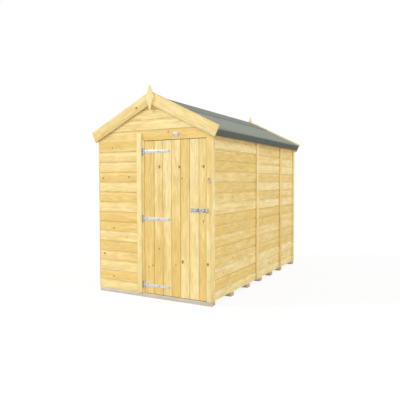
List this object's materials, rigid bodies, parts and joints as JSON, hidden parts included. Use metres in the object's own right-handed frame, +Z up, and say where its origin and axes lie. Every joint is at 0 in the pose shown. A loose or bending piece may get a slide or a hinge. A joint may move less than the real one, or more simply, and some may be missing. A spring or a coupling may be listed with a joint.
{
  "type": "wooden garden shed",
  "caption": "Apex garden shed in pale boarded softwood with a felted roof, bargeboards and finials, and a ledged door on T hinges with a pad bolt and a turn button.",
  "frame": {"origin": "on the ground under the middle of the shed", "axes": "+Z up, the door looks along -Y, +X to the right of a person who faces the door"},
  "size_m": [1.6718, 2.814, 2.33],
  "materials": {
    "cladding_pine": "bare planed softwood boards",
    "door_pine": "bare planed softwood boards",
    "trim_pine": "bare planed softwood",
    "frame_pine": "sawn softwood",
    "floor_pine": "planed softwood boards",
    "roof_pine": "planed softwood boards",
    "bearer_timber": "sawn greyish softwood",
    "roof_felt": "grey-green mineral granules",
    "galvanised_steel": "bright zinc"
  },
  "bodies": {
    "shed": {"floor_bearers": "bearer_timber", "floor_front_panel": "floor_pine", "floor_rear_panel": "floor_pine", "front_wall_cladding": "cladding_pine", "front_gable_cladding": "cladding_pine", "front_wall_frame": "frame_pine", "front_gable_frame": "frame_pine", "hinge_side_post": "trim_pine", "latch_side_post": "trim_pine", "front_cover_strip": "trim_pine", "back_wall_cladding": "cladding_pine", "back_wall_frame": "frame_pine", "back_gable_frame": "frame_pine", "right_front_cladding": "cladding_pine", "right_middle_cladding": "cladding_pine", "right_rear_cladding": "cladding_pine", "left_front_cladding": "cladding_pine", "left_middle_cladding": "cladding_pine", "left_rear_cladding": "cladding_pine", "right_wall_frames": "frame_pine", "left_wall_frames": "frame_pine", "right_cover_strips": "trim_pine", "left_cover_strips": "trim_pine", "right_roof_deck": "roof_pine", "left_roof_deck": "roof_pine", "right_roof_frame": "frame_pine", "left_roof_frame": "frame_pine", "right_felt": "roof_felt", "left_felt": "roof_felt", "ridge_felt": "roof_felt", "front_right_bargeboard": "trim_pine", "front_left_bargeboard": "trim_pine", "back_right_bargeboard": "trim_pine", "back_left_bargeboard": "trim_pine", "front_finial": "trim_pine", "back_finial": "trim_pine", "hinge_leaves": "galvanised_steel", "bolt_keeper": "galvanised_steel", "button_screw": "galvanised_steel"},
    "door": {"door_boards": "door_pine", "door_ledges": "frame_pine", "door_braces": "frame_pine", "hinge_straps": "galvanised_steel", "bolt_plate": "galvanised_steel"},
    "bolt": {"sliding_bolt": "galvanised_steel"},
    "button": {"turn_button": "galvanised_steel"}
  },
  "joints": [
    {"name": "door_hinge", "type": "hinge", "parent": "shed", "child": "door", "pos_m": [-0.095, -1.38, 0.878], "axis": [0, 0, -1], "range_deg": [0, 150]},
    {"name": "bolt_slide", "type": "slide", "parent": "door", "child": "bolt", "axis": [1, 0, 0], "range_m": [0, 0.04]},
    {"name": "button_turn", "type": "hinge", "parent": "shed", "child": "button", "pos_m": [0.709, -1.383, 1.315], "axis": [0, 1, 0], "range_deg": [0, 90]}
  ]
}
